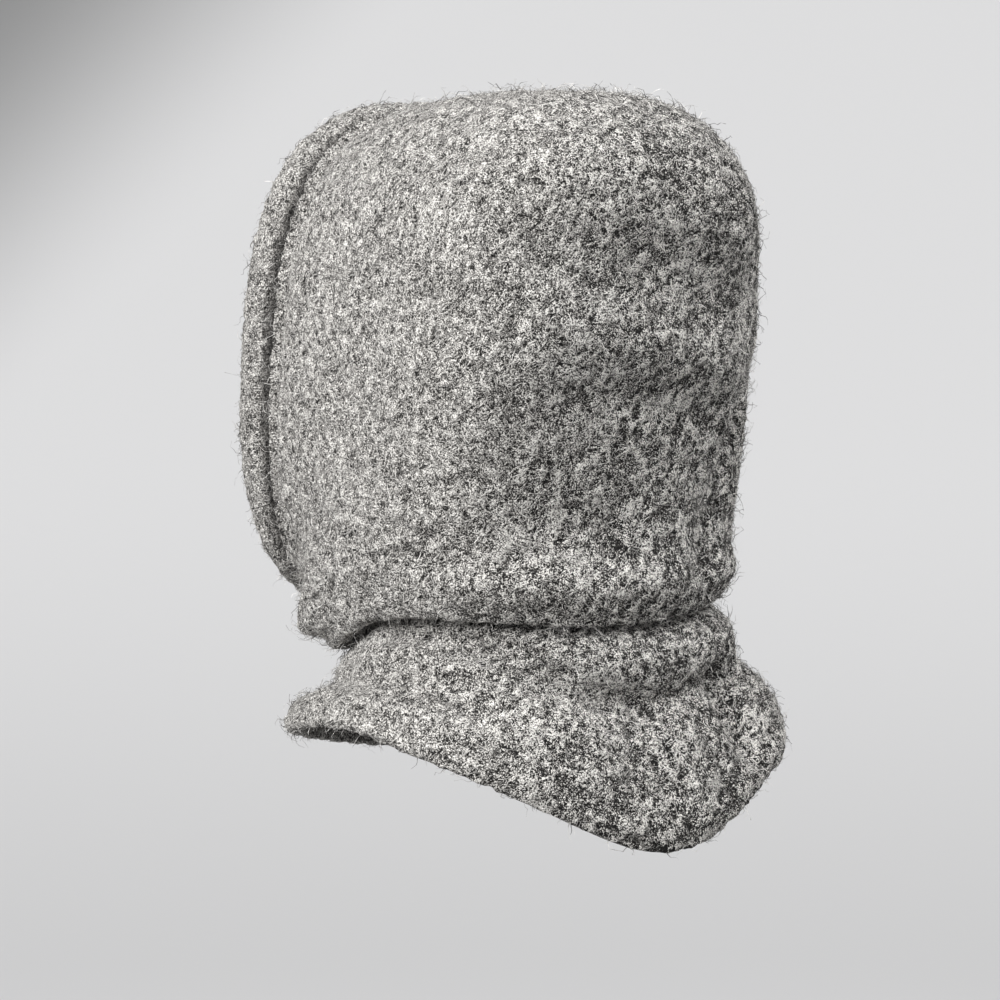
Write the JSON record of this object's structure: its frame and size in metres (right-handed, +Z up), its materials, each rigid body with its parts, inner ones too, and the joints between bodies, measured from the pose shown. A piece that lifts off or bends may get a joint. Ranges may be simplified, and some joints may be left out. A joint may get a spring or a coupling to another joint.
{
  "type": "snood hood",
  "caption": "Soft knitted snood hood: a roomy hood with a doubled band round the face, joined to a gathered snood that flares over the shoulders.",
  "frame": {"origin": "middle of the inside of the crown, at its highest, where the wearer's head carries the hood", "axes": "+Z up, the face opening looks along -Y, the wearer's left is +X"},
  "size_m": [0.2758, 0.2696, 0.3969],
  "materials": {
    "melange_knit": "brushed grey melange knit with a long soft pile, matt"
  },
  "bodies": {
    "root": {"hood": "melange_knit", "face_band": "melange_knit", "neck_snood": "melange_knit"}
  },
  "joints": []
}
